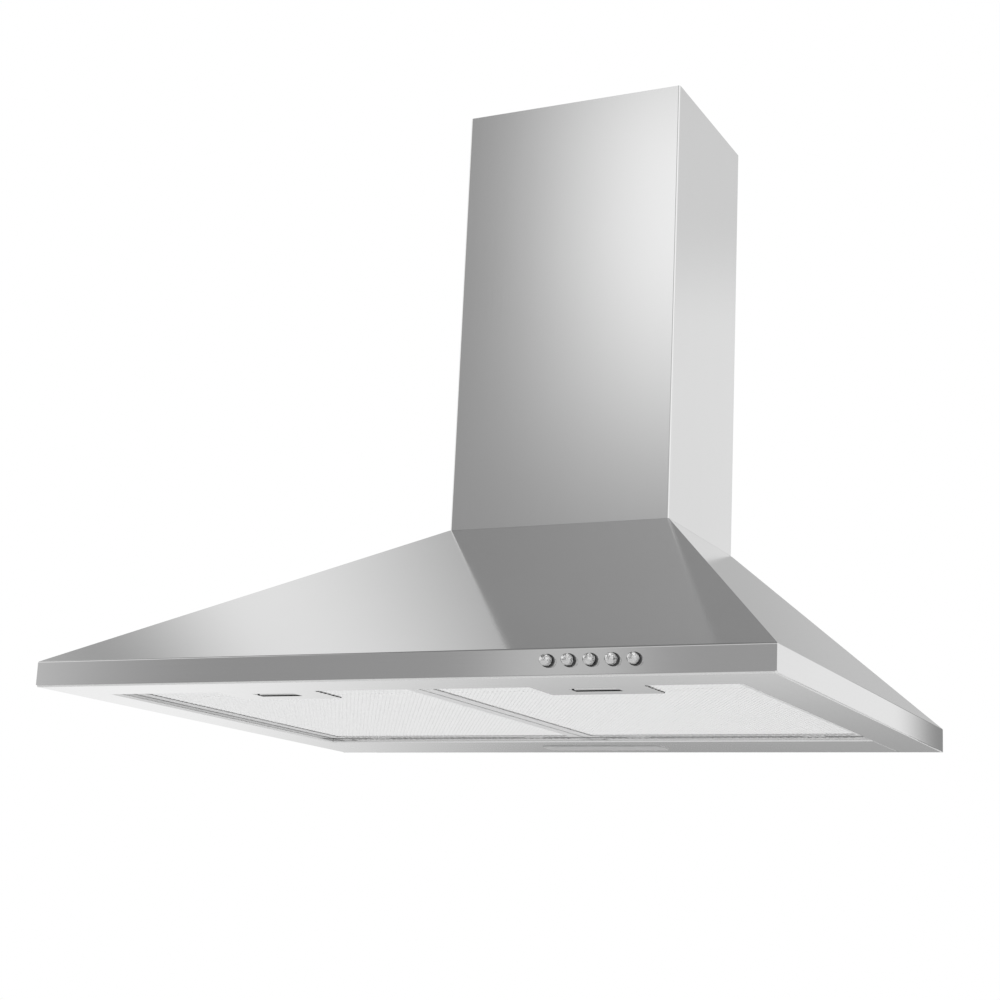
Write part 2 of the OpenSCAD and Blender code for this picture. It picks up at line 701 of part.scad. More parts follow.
module damper_spindle() color(chrome) rod_x(-collar_r, collar_r, chimney_mid, spindle_z, spindle_r);
knuckle_r = 2 * spindle_r;
flap_r = collar_bore_r - 1;
flap_gap = 0.4;
// A half-round flap on the low side of the spindle; knuckles lists the [x0, x1] spans it turns on
module damper_flap(knuckles) {
    difference() {
        union() {
            intersection() {
                translate([0, 0, -flap_t / 2]) cylinder(r = flap_r, h = flap_t, $fn = 96);
                union() {
                    block([-flap_r, -flap_r, -flap_t], [flap_r, -knuckle_r - flap_gap, flap_t]);
                    for (k = knuckles) block([k[0], -knuckle_r - 2 * flap_gap, -flap_t], [k[1], 0, flap_t]);
                }
            }
            for (k = knuckles) rod_x(k[0], k[1], 0, 0, knuckle_r);
        }
        rod_x(-flap_r, flap_r, 0, 0, spindle_r + running_gap);
    }
}
module damper_flap_front() color(black_plastic) translate([0, chimney_mid, spindle_z])
    damper_flap([[-knuckle_end, -knuckle_mid - 1], [knuckle_mid + 1, knuckle_end]]);
module damper_flap_rear() color(black_plastic) translate([0, chimney_mid, spindle_z]) mirror([0, 1, 0])
    damper_flap([[-knuckle_mid, knuckle_mid]]);

// Junction box on the back panel. The mains cord would come down to the hole in its top.
box_x1 = box_x0 + box_w;
box_y0 = -sheet_t - box_d;
box_z1 = box_z0 + box_h;
box_mid_x = (box_x0 + box_x1) / 2;
box_mid_y = -sheet_t - box_d / 2;
module junction_box() color(white_plastic) difference() {
    block([box_x0, box_y0, box_z0], [box_x1, -sheet_t, box_z1]);
    block([box_x0 + plastic_wall, box_y0 - cut, box_z0 + plastic_wall],
        [box_x1 - plastic_wall, -sheet_t - plastic_wall, box_z1 - plastic_wall]);
    translate([box_mid_x, box_mid_y, box_z1 - plastic_wall - cut])
        cylinder(r = gland_bore_r, h = plastic_wall + 2 * cut);
}
module junction_lid() color(white_plastic)
    block([box_x0, box_y0 - plastic_wall, box_z0], [box_x1, box_y0, box_z1]);

// Cable gland on the top plate, beside the collar, with its nut under the plate
gland_r = gland_bore_r + 4;
gland_spigot_r = gland_bore_r + 2;
gland_x = -(chimney_w / 2 - top_flange - gland_r - 1.2);
gland_y = -gland_inset;
module cable_gland() color(black_plastic) translate([gland_x, gland_y, 0]) difference() {
    spigot_z = canopy_top - gland_nut_h - 1;
    union() {
        translate([0, 0, spigot_z]) cylinder(r = gland_spigot_r, h = plate_top - spigot_z);
        translate([0, 0, plate_top]) {
            cylinder(r = gland_r, h = 0.3 * gland_l, $fn = 6);
            cylinder(r = gland_r - 1.5, h = 0.5 * gland_l);
            translate([0, 0, 0.5 * gland_l])
                cylinder(r1 = gland_r - 0.5, r2 = gland_r - 2.2, h = 0.5 * gland_l);
        }
    }
    translate([0, 0, spigot_z - cut])
        cylinder(r = gland_bore_r, h = plate_top + gland_l - spigot_z + 2 * cut);
}
module gland_nut() color(black_plastic) translate([gland_x, gland_y, canopy_top - gland_nut_h]) difference() {
    cylinder(r = gland_r, h = gland_nut_h, $fn = 6);
    translate([0, 0, -cut]) cylinder(r = gland_spigot_r + running_gap, h = gland_nut_h + 2 * cut);
}

// Motor capacitor in its clip, on the back panel
capacitor_y = -sheet_t - 2 - capacitor_r;
clip_h = 14;
clip_mouth = 16;
terminal = [1, 6, 8];
module capacitor() color(white_plastic) translate([capacitor_x, capacitor_y, capacitor_z]) {
    cylinder(r = capacitor_r, h = capacitor_l);
    for (s = [-1, 1]) translate([s * 0.4 * capacitor_r - terminal[0] / 2, -terminal[1] / 2, capacitor_l])
        cube(terminal);
}
module capacitor_clip() color(galvanised) translate([capacitor_x, capacitor_y, capacitor_z + capacitor_l / 3])
    difference() {
        union() {
            cylinder(r = capacitor_r + clip_t, h = clip_h);
            block([-capacitor_r, capacitor_r - 2, 0], [capacitor_r, -sheet_t - capacitor_y, clip_h]);
        }
        translate([0, 0, -cut]) cylinder(r = capacitor_r + running_gap, h = clip_h + 2 * cut);
        block([-clip_mouth / 2, -capacitor_r - clip_t - cut, -cut],
            [clip_mouth / 2, -0.7 * capacitor_r, clip_h + cut]);
    }

// Push buttons in the front rim, and the switch bank behind them
function button_x(i) = canopy_w / 2 - button_inset - (button_count - i) * button_pitch;
rim_inside = -canopy_d + sheet_t;
button_shoulder = rim_inside + 1;
stem_r = button_r / 2;
bank_y0 = button_shoulder + button_travel + seat_gap;
bank_y1 = bank_y0 + bank_d;
bank_x0 = button_x(1) - button_pitch / 2;
bank_x1 = button_x(button_count) + button_pitch / 2;
bank_z0 = sheet_t + bank_base_t;
bank_z1 = 2 * button_z - bank_z0 - 2;
module push_button(i) color(chrome) {
    round = 0.7 * button_r;
    length = button_shoulder + canopy_d + button_out;
    translate([button_x(i), button_shoulder, button_z]) rotate([90, 0, 0]) rotate_extrude() union() {
        square([button_r, length - round]);
        square([button_r - round, length]);
        translate([button_r - round, length - round]) intersection() {
            circle(round, $fn = 48);
            square(round);
        }
    }
    rod_y(button_x(i), button_z, button_shoulder, button_shoulder + stem_l, stem_r);
}
module switch_bracket() color(galvanised) {
    side_t = 2 * sheet_t;
    block([bank_x0 - side_t, bank_y0, sheet_t], [bank_x1 + side_t, bank_y1, bank_z0]);
    for (x = [bank_x0 - side_t, bank_x1 + sheet_gap])
        block([x, bank_y0, sheet_t], [x + side_t - sheet_gap, bank_y1, bank_z1]);
}
module switch_bank() color(black_plastic) difference() {
    bore_y1 = button_shoulder + stem_l + button_travel + 1;
    block([bank_x0, bank_y0, bank_z0], [bank_x1, bank_y1, bank_z1]);
    for (i = [1:button_count])
        rod_y(button_x(i), button_z, bank_y0 - cut, bore_y1, stem_r + 3 * running_gap);
}

// Lamp behind the cut-out of the lamp panel
housing_top = sheet_t + lamp_h;
board_z1 = housing_top - lamp_wall;
board_w = lamp_w - 2 * board_end_gap;
board_d = lamp_d - 2 * board_side_gap;
led_h = 1.5;
led_r = 2.6;
module lamp_housing() color(white_plastic) difference() {
    block([-lamp_w / 2, -lamp_y - lamp_d / 2, sheet_t], [lamp_w / 2, -lamp_y + lamp_d / 2, housing_top]);
    block([-lamp_w / 2 + lamp_wall, -lamp_y - lamp_d / 2 + lamp_wall, sheet_t - cut],
        [lamp_w / 2 - lamp_wall, -lamp_y + lamp_d / 2 - lamp_wall, housing_top - lamp_wall]);
}
module led_board() color("darkgreen")
    block([-board_w / 2, -lamp_y - board_d / 2, board_z1 - board_t],
        [board_w / 2, -lamp_y + board_d / 2, board_z1]);
module led_chips() color("khaki") {
    led_pitch = board_w / led_count;
    for (i = [0:led_count - 1])
        translate([(i - (led_count - 1) / 2) * led_pitch, -lamp_y, board_z1 - board_t - led_h])
            cylinder(r1 = led_r - 1, r2 = led_r, h = led_h);
}
module lamp_cover() color("whitesmoke") {
    inner_w = lamp_w - 2 * lamp_flange - 2 * sheet_gap;
    inner_d = lamp_d - 2 * lamp_flange - 2 * sheet_gap;
    block([-lamp_w / 2, -lamp_y - lamp_d / 2, -lamp_proud], [lamp_w / 2, -lamp_y + lamp_d / 2, 0]);
    block([-inner_w / 2, -lamp_y - inner_d / 2, -lamp_proud],
        [inner_w / 2, -lamp_y + inner_d / 2, 2 * sheet_t]);
}

// Grease filters. The right one is modelled, and the left one mirrors it.
filter_x0 = middle_gap / 2;
filter_x1 = opening_x - filter_gap;
filter_mid = (filter_x0 + filter_x1) / 2;
filter_y0 = opening_front + filter_gap;
filter_y1 = opening_rear - hook_gap;
filter_z0 = filter_recess;
filter_z1 = filter_z0 + filter_t;
mesh_z0 = filter_z0 + border_t;
mesh_z1 = filter_z1 - frame_t;
hook_y = opening_rear - hook_gap / 2;
hook_z = filter_z0 + bead_r;
hook_slot_z = hook_z - hook_t / 2 - seat_gap;
hook_slot_w = hook_w + 2;
inner_x0 = filter_x0 + border_w;
inner_x1 = filter_x1 - border_w;
inner_y0 = filter_y0 + border_w;
inner_y1 = filter_y1 - border_w + 1;
latch_rear = inner_y0 + latch_l;
pocket_y1 = latch_rear - pocket_inset;
pocket_l = finger_l + ramp_l + latch_travel + seat_gap;
pocket_y0 = pocket_y1 - pocket_l;
latch_z0 = mesh_z0 - latch_t;
cup_z1 = mesh_z0 + pocket_h;
tongue_z1 = cup_z1 - pocket_wall - 2 * seat_gap;
tongue_z0 = tongue_z1 - tongue_t;
// Way for the latch tongue, from y0 to y1
module tongue_way(y0, y1) {
    block([latch_x - tongue_w / 2 - seat_gap, y0, tongue_z0 - seat_gap],
        [latch_x + tongue_w / 2 + seat_gap, y1, tongue_z1 + seat_gap]);
}
module filter_frame() difference() {
    union() {
        difference() {
            block([filter_x0, filter_y0, filter_z0], [filter_x1, filter_y1, filter_z1]);
            block([inner_x0, inner_y0, filter_z0 - cut], [inner_x1, inner_y1, filter_z1 + cut]);
            block([filter_x0 + frame_t, filter_y0 + frame_t, mesh_z0],
                [filter_x1 - frame_t, filter_y1 - frame_t, mesh_z1]);
        }
        for (h = [-1, 1]) translate([filter_mid + h * hook_x - hook_w / 2, 0, 0]) {
            rod_x(0, hook_w, hook_y, hook_z, bead_r);
            block([0, filter_y1, hook_z - hook_t / 2], [hook_w, hook_y + hook_l, hook_z + hook_t / 2]);
        }
    }
    // Drain slots along the rear border
    drains = floor((inner_x1 - inner_x0) / drain_pitch) - 1;
    for (i = [0:drains - 1]) {
        x = (inner_x0 + inner_x1) / 2 + (i - (drains - 1) / 2) * drain_pitch;
        block([x - drain_l / 2, inner_y1 + drain_inset, filter_z0 - cut],
            [x + drain_l / 2, inner_y1 + drain_inset + drain_w, mesh_z0 + cut]);
    }
    tongue_way(filter_y0 - cut, filter_y0 + frame_t + cut);
}
module filter_mesh() {
    layer_step = (mesh_z1 - mesh_z0 - mesh_t) / (mesh_layers - 1);
    edge = frame_t + sheet_gap;
    for (i = [0:mesh_layers - 1]) difference() {
        translate([0, 0, mesh_z0 + i * layer_step])
            block([filter_x0 + edge, filter_y0 + edge, 0], [filter_x1 - edge, filter_y1 - edge, mesh_t]);
        block([latch_x - pocket_w / 2 - pocket_wall - sheet_gap, filter_y0, mesh_z0 - cut],
            [latch_x + pocket_w / 2 + pocket_wall + sheet_gap, pocket_y1 + pocket_wall + sheet_gap,
                mesh_z1 + cut]);
    }
}
// Latch plate with a finger pocket behind its slot
module latch_plate() difference() {
    union() {
        block([latch_x - latch_w / 2, inner_y0 + sheet_gap, latch_z0],
            [latch_x + latch_w / 2, latch_rear, mesh_z0]);
        block([latch_x - pocket_w / 2 - pocket_wall, pocket_y0 - pocket_wall, latch_z0],
            [latch_x + pocket_w / 2 + pocket_wall, pocket_y1 + pocket_wall, cup_z1]);
    }
    block([latch_x - pocket_w / 2, pocket_y0, latch_z0 - cut],
        [latch_x + pocket_w / 2, pocket_y1, cup_z1 - pocket_wall]);
    tongue_way(pocket_y0 - pocket_wall - cut, pocket_y0 + cut);
}
// Slide with a hollow ramp in the pocket and a tongue that reaches to the front lip. The ramp is a
// quarter of an ellipse in profile, deep at its front and upright at its rear.
ramp_steps = 8;
module latch_slide() {
    ramp_y0 = pocket_y0 + finger_l;
    ramp_y1 = ramp_y0 + ramp_l;
    ramp_z = latch_z0 + seat_gap;
    hollow_l = ramp_l - tongue_t / 2;
    block([latch_x - tongue_w / 2, opening_front + seat_gap, tongue_z0],
        [latch_x + tongue_w / 2, ramp_y0 + hollow_l, tongue_z1]);
    translate([latch_x, 0, 0]) along_x(pocket_w - 2) polygon(concat(
        [for (k = [0:ramp_steps]) let (a = 90 * k / ramp_steps)
            [ramp_y0 + hollow_l * sin(a), ramp_z + (tongue_z0 - ramp_z) * cos(a)]],
        [[ramp_y1, ramp_z], [ramp_y1, tongue_z1], [ramp_y0, tongue_z1]]));
}
module filter_frame_right() color(aluminium) filter_frame();
module filter_frame_left() mirror([1, 0, 0]) filter_frame_right();
module filter_mesh_right() color(aluminium) filter_mesh();
module filter_mesh_left() mirror([1, 0, 0]) filter_mesh_right();
module latch_plate_right() color(steel) latch_plate();
module latch_plate_left() mirror([1, 0, 0]) latch_plate_right();
module latch_slide_right() color(steel) latch_slide();
module latch_slide_left() mirror([1, 0, 0]) latch_slide_right();

// Leads clipped inside the canopy. Each route is a short list of points, joined by a smooth curve.
// The switch lead leaves the bank on the right, runs back between the rim and the opening, and
// crosses to the junction box along the back panel.
lead_sides = 8;
lead_steps = 4;
side_x = canopy_w / 2;
front_y = -canopy_d;
clip_x = side_x - side_return / 2;
switch_route = [
    [side_x - 104, bank_y1 - 10, bank_z1], [side_x - 104, bank_y1 - 10, bank_z1 + 2],
    [side_x - 104, bank_y1 - 10, bank_z1 + 4], [side_x - 96, front_y + 29, 25.5],
    [side_x - 75, front_y + 32, 26],
    [side_x - 50, front_y + 34, 22], [clip_x - 11, front_y + 42, 14], [clip_x - 2, front_y + 60, 8],
    [clip_x, front_y + 80, 6], [clip_x, front_y + 180, 5], [clip_x, front_y + 280, 6], [clip_x, -100, 5],
    [clip_x - 1, -40, 7], [side_x - 38, -14, 17], [side_x - 80, -10, 20],
    [140, -10, 19], [0, -9, 19], [-100, -10, 18],
    [box_mid_x, box_mid_y, box_z0 - 9], [box_mid_x, box_mid_y, box_z0 - 5], [box_mid_x, box_mid_y, box_z0]];
lamp_lead_z = board_z1 - 6.5;
lamp_route = [
    [-lamp_w / 2, -lamp_y, lamp_lead_z], [-lamp_w / 2 - 4, -lamp_y, lamp_lead_z],
    [-lamp_w / 2 - 8, -lamp_y, lamp_lead_z], [-84, -34, 16], [-100, -22, 32],
    [box_x1 + 8, box_mid_y, box_z0 + 12], [box_x1 + 4, box_mid_y, box_z0 + 12],
    [box_x1, box_mid_y, box_z0 + 12]];
motor_lead_x = blower_x - 14;
motor_lead_z = blower_z + 6;
motor_route = [
    [motor_lead_x, motor_y1 + 3, motor_lead_z], [motor_lead_x, motor_y1 + 6, motor_lead_z],
    [motor_lead_x, motor_y1 + 9, motor_lead_z], [-66, -22, 92], [-90, -17, 72],
    [box_x1 + 8, box_mid_y, box_z0 + 30], [box_x1 + 4, box_mid_y, box_z0 + 30],
    [box_x1, box_mid_y, box_z0 + 30]];
function mix_point(p0, p1, p2, p3, t) = 0.5 * (2 * p1 + (p2 - p0) * t
    + (2 * p0 - 5 * p1 + 4 * p2 - p3) * t * t + (3 * p1 - p0 - 3 * p2 + p3) * t * t * t);
function smooth_route(p) = [for (i = [0:len(p) - 2], k = [0:lead_steps - 1])
    mix_point(p[max(i - 1, 0)], p[i], p[i + 1], p[min(i + 2, len(p) - 1)], k / lead_steps), p[len(p) - 1]];
function unit(v) = v / norm(v);
function tangent(p, i) = unit(p[min(i + 1, len(p) - 1)] - p[max(i - 1, 0)]);
function next_side(n, t) = unit(n - t * (n * t));
function side_vectors(p, i, n) = i == len(p) ? [] :
    let (m = next_side(n, tangent(p, i))) concat([m], side_vectors(p, i + 1, m));
module lead(route, r) {
    p = smooth_route(route);
    first = tangent(p, 0);
    sides = side_vectors(p, 0, abs(first[2]) > 0.9 ? [1, 0, 0] : [0, 0, 1]);
    points = [for (i = [0:len(p) - 1], k = [0:lead_sides - 1])
        let (t = tangent(p, i), n = sides[i], a = k * 360 / lead_sides)
            p[i] + r * (cos(a) * n + sin(a) * cross(t, n))];
    last = (len(p) - 1) * lead_sides;
    faces = concat(
        [[for (k = [lead_sides - 1:-1:0]) k]],
        [[for (k = [0:lead_sides - 1]) last + k]],
        [for (i = [0:len(p) - 2], k = [0:lead_sides - 1]) let (a = i * lead_sides, b = (k + 1) % lead_sides)
            [a + k, a + b, a + b + lead_sides]],
        [for (i = [0:len(p) - 2], k = [0:lead_sides - 1]) let (a = i * lead_sides, b = (k + 1) % lead_sides)
            [a + k, a + b + lead_sides, a + k + lead_sides]]);
    polyhedron(points, faces);
}
module switch_lead() color(white_plastic) lead(switch_route, 2.5);
module lamp_lead() color(white_plastic) lead(lamp_route, 2);
module motor_lead() color(white_plastic) lead(motor_route, 2.5);

canopy_front();
canopy_left();
canopy_right();
back_panel();
rear_panel();
top_plate();
rear_panel_screws();
top_plate_screws();
chimney_cover();
chimney_extension();
extension_bracket();
bracket_screws();
scroll_band();
scroll_front();
scroll_rear();
motor_arms();
motor_bushes();
motor_screws();
motor_body();
motor_shaft();
impeller_disc();
impeller_rings();
impeller_blades();
impeller_nut();
outlet_collar();
collar_screws();
damper_seal();
damper_spindle();
damper_flap_front();
damper_flap_rear();
junction_box();
junction_lid();
cable_gland();
gland_nut();
capacitor();
capacitor_clip();
switch_bracket();
switch_bank();
lamp_housing();
led_board();
led_chips();
lamp_cover();
filter_frame_left();
filter_frame_right();
filter_mesh_left();
filter_mesh_right();
latch_plate_left();
latch_plate_right();
latch_slide_left();
latch_slide_right();
switch_lead();
lamp_lead();
motor_lead();
for (i = [1:button_count]) push_button(i);
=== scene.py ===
# %% [markdown]
# # A chimney range hood in brushed steel
# The hood hangs on a wall and is seen from below, from its front right. Its working parts come packed as a fixed frame,
# one object for each part, and every size here is read from that frame. This lesson gives those parts their finishes,
# and models what the solids leave plain: the expanded metal of the grease filters, the turned buttons and the lamp's
# moulded cover.

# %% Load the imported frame
import json
from math import cos, pi, radians, sin

import bmesh
import bpy
import numpy as np
from mathutils import Matrix, Vector


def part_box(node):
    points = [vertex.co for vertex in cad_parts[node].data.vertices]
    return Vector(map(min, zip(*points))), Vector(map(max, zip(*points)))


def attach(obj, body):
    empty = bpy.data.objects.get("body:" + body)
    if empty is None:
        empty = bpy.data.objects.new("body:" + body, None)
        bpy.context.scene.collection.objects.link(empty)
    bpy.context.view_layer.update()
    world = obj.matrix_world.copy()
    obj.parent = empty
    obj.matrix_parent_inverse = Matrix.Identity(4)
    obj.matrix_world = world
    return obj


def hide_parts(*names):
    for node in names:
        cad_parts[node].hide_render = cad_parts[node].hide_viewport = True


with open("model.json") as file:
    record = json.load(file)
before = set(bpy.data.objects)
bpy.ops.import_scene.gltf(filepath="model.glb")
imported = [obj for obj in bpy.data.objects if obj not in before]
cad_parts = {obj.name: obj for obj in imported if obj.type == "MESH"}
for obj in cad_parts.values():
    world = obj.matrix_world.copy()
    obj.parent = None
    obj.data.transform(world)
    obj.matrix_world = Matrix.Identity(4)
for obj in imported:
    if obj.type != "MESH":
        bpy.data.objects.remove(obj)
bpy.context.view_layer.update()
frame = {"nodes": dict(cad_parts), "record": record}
MM = 0.001

# %% [markdown]
# ## The camera
# The camera stands low and to the right, so the hood shows its front, its right side and its underside at once. Its
# place and its three angles were worked out from the corners of the hood. The lens keeps upright lines a little
# converging, as they are when one looks up. The small shifts move the frame, not the view.

# %% Camera
CAMERA_PLACE = Vector((0.66372, -1.64131, -0.17476))
YAW, PITCH, ROLL = radians(26.121), radians(12.565), radians(2.675)
SENSOR_MM, LENS_MM = 36.0, 67.72
SHIFT_X, SHIFT_Y = 0.0029, 0.0183


def camera_turn(yaw, pitch, roll):
    """The camera's axes: forward from yaw and pitch, right level with the floor, then both turned about forward."""
    forward = Vector((-sin(yaw) * cos(pitch), cos(yaw) * cos(pitch), sin(pitch)))
    level = Vector((cos(yaw), sin(yaw), 0.0))
    upright = level.cross(forward)
    right = level * cos(roll) + upright * sin(roll)
    up = upright * cos(roll) - level * sin(roll)
    return Matrix((right, up, -forward)).transposed()


lens = bpy.data.cameras.new("camera")
lens.sensor_width, lens.lens = SENSOR_MM, LENS_MM
lens.shift_x, lens.shift_y = SHIFT_X, SHIFT_Y
camera = bpy.data.objects.new("camera", lens)
camera.matrix_world = Matrix.Translation(CAMERA_PLACE) @ camera_turn(YAW, PITCH, ROLL).to_4x4()
bpy.context.scene.collection.objects.link(camera)
bpy.context.scene.camera = camera
bpy.context.scene.view_settings.view_transform = "Standard"
print("camera", [round(v, 3) for v in camera.location], "lens", LENS_MM)

# %% [markdown]
# ## Shader maths written as Python
# A finish is a small sum of noises and masks. Added by hand that is a dozen boxes and wires, so a wire is wrapped in a
# class that knows plus, times and taking it from a number, and an expression on wires adds its own Math nodes.
# Everything else comes from one method, `node`, which sets a node's settings first and then its sockets.

# %% Wires and materials
class Wire:
    """A node's output. Sums and products of wires and numbers become Math nodes of the same finish."""

    def __init__(self, finish, socket):
        self.finish, self.socket = finish, socket

    def maths(self, operation, first, second):
        return self.finish.node("Math", {"operation": operation}, {0: first, 1: second})

    def __add__(self, other):
        return self.maths("ADD", self, other)

    def __rsub__(self, other):
        return self.maths("SUBTRACT", other, self)

    def __mul__(self, other):
        return self.maths("MULTIPLY", self, other)

    __radd__, __rmul__ = __add__, __mul__

    def beside(self, output):
        """Another output of the same node."""
        return Wire(self.finish, self.socket.node.outputs[output])


class Finish:
    """A material whose nodes are added in order, ending in its surface."""

    family, output_kind = "materials", "ShaderNodeOutputMaterial"

    def __init__(self, name):
        self.material = getattr(bpy.data, self.family).new(name)
        self.material.use_nodes = True
        self.tree = self.material.node_tree
        self.tree.nodes.clear()

    def node(self, kind, settings=None, sockets=None, out=0):
        """Adds a node of a kind, sets it up, joins its sockets to values or wires, and gives back one output."""
        added = self.tree.nodes.new("ShaderNode" + kind)
        for key, value in (settings or {}).items():
            setattr(added, key, value)
        for key, value in (sockets or {}).items():
            if isinstance(value, Wire):
                self.tree.links.new(value.socket, added.inputs[key])
            else:
                added.inputs[key].default_value = value
        return Wire(self, added.outputs[out])

    def surface(self, shader):
        """Joins a shader to the output and gives back the finished material."""
        output = self.tree.nodes.new(self.output_kind)
        self.tree.links.new(shader.socket, output.inputs["Surface"])
        return self.material

    def noise(self, scale, stretch=(1, 1, 1), detail=2.0, roughness=0.5):
        """Noise on the object's own coordinates in metres, `scale` features to the metre, stretched along an axis."""
        place = self.node("TexCoord", out="Object")
        spread = self.node("Mapping", {}, {"Vector": place, "Scale": stretch})
        return self.node("TexNoise", {}, {"Vector": spread, "Scale": scale, "Detail": detail, "Roughness": roughness})

    def blend(self, mask, low, high):
        """A colour that goes from `low` to `high` as the mask goes from 0 to 1."""
        return self.node("Mix", {"data_type": "RGBA"}, {"Factor": mask, "A": low, "B": high}, out="Result")


def grey(value, warmth=0.0):
    """A linear grey, a touch warmer or cooler than neutral."""
    return (value * (1 + warmth), value, value * (1 - warmth), 1.0)


print("wires and finishes ready")

# %% [markdown]
# ## The stage
# The hood hangs at its working height over a pale floor, in a white room. White is the colour of the room itself: its
# light is held at a level at which a colour shows as it is written, and only what the camera and the metal see of it is
# full white. The floor is far below, so it takes a soft shadow. Its paint falls short of white, and a little light of
# its own lifts it where it is seen directly.

# %% Room and floor
HANG_HEIGHT = 1.65          # from the floor to the underside of the hood
FLOOR_HALF = 7.0
FLOOR_PAINT, FLOOR_LIFT = 0.76, 0.35
ROOM_LIGHT = 0.72


def seen_directly(finish):
    """1 for what the camera sees straight, in metal or through glass, and 0 for the light that falls on things."""
    rays = [finish.node("LightPath", out=ray) for ray in ("Is Camera Ray", "Is Glossy Ray", "Is Transmission Ray")]
    return finish.node("Clamp", {}, {"Value": rays[0] + rays[1] + rays[2]})


class Room(Finish):
    """The world has a node tree as a material has, so it takes the same methods."""

    family, output_kind = "worlds", "ShaderNodeOutputWorld"


room = Room("white_room")
brightness = seen_directly(room) * (1 - ROOM_LIGHT) + ROOM_LIGHT
bpy.context.scene.world = room.surface(room.node("Background", {}, {"Color": grey(1.0), "Strength": brightness}))


def linked(name, mesh):
    """Puts a mesh into the scene as an object at the origin."""
    made = bpy.data.objects.new(name, mesh)
    bpy.context.scene.collection.objects.link(made)
    return made


def mesh_object(name, points, faces, finish):
    """An object with flat faces and one finish, from an array of points in metres and a list of faces."""
    mesh = bpy.data.meshes.new(name)
    mesh.from_pydata(np.asarray(points).reshape(-1, 3).tolist(), [], faces)
    mesh.update()
    mesh.materials.append(finish)
    return linked(name, mesh)


def floor_finish():
    """Matt white paint, lifted to white where it is seen directly, so that only its shadow stays."""
    finish = Finish("white_floor")
    paint = finish.node("BsdfDiffuse", {}, {"Color": grey(FLOOR_PAINT)})
    lift = finish.node("Emission", {}, {"Color": grey(1.0), "Strength": seen_directly(finish) * FLOOR_LIFT})
    return finish.surface(finish.node("AddShader", {}, {0: paint, 1: lift}))


half, low = FLOOR_HALF, -HANG_HEIGHT
floor = mesh_object("floor", [(-half, -half, low), (half, -half, low), (half, half, low), (-half, half, low)],
                    [(0, 1, 2, 3)], floor_finish())
print("floor at", -HANG_HEIGHT, "m, room light", ROOM_LIGHT)

# %% [markdown]
# ## Lamps and cards
# Steel has no colour of its own: it shows what stands around it. A photographer lights it with a few large soft lamps
# and puts grey cards where the metal should darken and bright ones where it should gleam. The lamps here are two metres
# wide and no brighter than the room, and each card is a patch of a large sphere about the hood, given by its bearings
# and heights in degrees as seen from the hood. Bearing 0 is straight behind the wall, 90 is on the hood's right and 180
# is in front. Each card fades out at its edges, and the camera can't see it.

# %% Lamps
def soft_lamp(name, bearing, height, distance, side, radiance):
    """A square lamp that faces the hood. Its power is its radiance times its area times pi."""
    light = bpy.data.lights.new(name, "AREA")
    light.size, light.energy = side, radiance * side * side * pi
    lamp = bpy.data.objects.new(name, light)
    away = Vector((sin(bearing) * cos(height), cos(bearing) * cos(height), sin(height)))
    lamp.matrix_world = Matrix.Translation(away * distance) @ away.to_track_quat("Z", "Y").to_matrix().to_4x4()
    lamp.visible_camera = False
    bpy.context.scene.collection.objects.link(lamp)


# Each lamp has its bearing, height, distance, side and radiance.
LAMPS = {
    "key_lamp": (radians(148), radians(66), 3.2, 2.0, 0.9),
    "side_lamp": (radians(-105), radians(20), 3.2, 2.0, 0.5),
}
for lamp_name, settings in LAMPS.items():
    soft_lamp(lamp_name, *settings)
print("lamps", list(LAMPS))

# %% Cards
CARD_STEPS = 12
SHARPEST_FADE = 1e-3


def sphere_patch(bearings, heights, distance, steps):
    """Points of a sphere about the hood. Bearing runs along the first parameter and height along the second: x is the
    distance times the bearing's sine and the height's cosine, y takes both cosines, and z the height's sine."""
    u, v = np.meshgrid(np.linspace(0, 1, steps + 1), np.linspace(0, 1, steps + 1), indexing="ij")
    bearing = np.radians(bearings[0] + (bearings[1] - bearings[0]) * u)
    height = np.radians(heights[0] + (heights[1] - heights[0]) * v)
    points = distance * np.stack([np.sin(bearing) * np.cos(height), np.cos(bearing) * np.cos(height),
                                  np.sin(height)], axis=-1)
    return points, np.stack([u, v], axis=-1)


def grid_faces(rows, columns, wrap=False):
    """The quads of a grid of points, row by row. With wrap, the last column joins the first."""
    across = columns if wrap else columns - 1
    i, j = np.meshgrid(np.arange(rows - 1), np.arange(across), indexing="ij")
    k = (j + 1) % columns
    return np.stack([i * columns + j, (i + 1) * columns + j, (i + 1) * columns + k, i * columns + k],
                    axis=-1).reshape(-1, 4)


def card_finish(name, tones, fades):
    """A grey that runs from one tone to another across the card, and fades to nothing within `fades` of its edges."""
    finish = Finish(name)
    across = finish.node("SeparateXYZ", {}, {0: finish.node("UVMap")})
    up = across.beside("Y")

    def rise(inwards, width):
        """0 at an edge, and 1 from `width` inwards, by a smooth step."""
        return finish.node("MapRange", {"interpolation_type": "SMOOTHSTEP"},
                           {"Value": inwards, "From Max": max(width, SHARPEST_FADE)})

    (left, right), (bottom, top) = fades
    cover = rise(across, left) * rise(1 - across, right) * rise(up, bottom) * rise(1 - up, top)
    shine = finish.node("Emission", {}, {"Color": grey(1.0), "Strength": across * (tones[1] - tones[0]) + tones[0]})
    clear = finish.node("BsdfTransparent")
    return finish.surface(finish.node("MixShader", {}, {0: cover, 1: clear, 2: shine}))


def card_on_stage(name, points, uv, tones, fades):
    """A card from a grid of points, seen only by the metal and the light."""
    faces = grid_faces(*points.shape[:2])
    card = mesh_object(name, points, faces.tolist(), card_finish(name, tones, fades))
    layer = card.data.uv_layers.new(name="UVMap")
    layer.data.foreach_set("uv", uv.reshape(-1, 2)[faces.reshape(-1)].reshape(-1))
    card.visible_camera = False


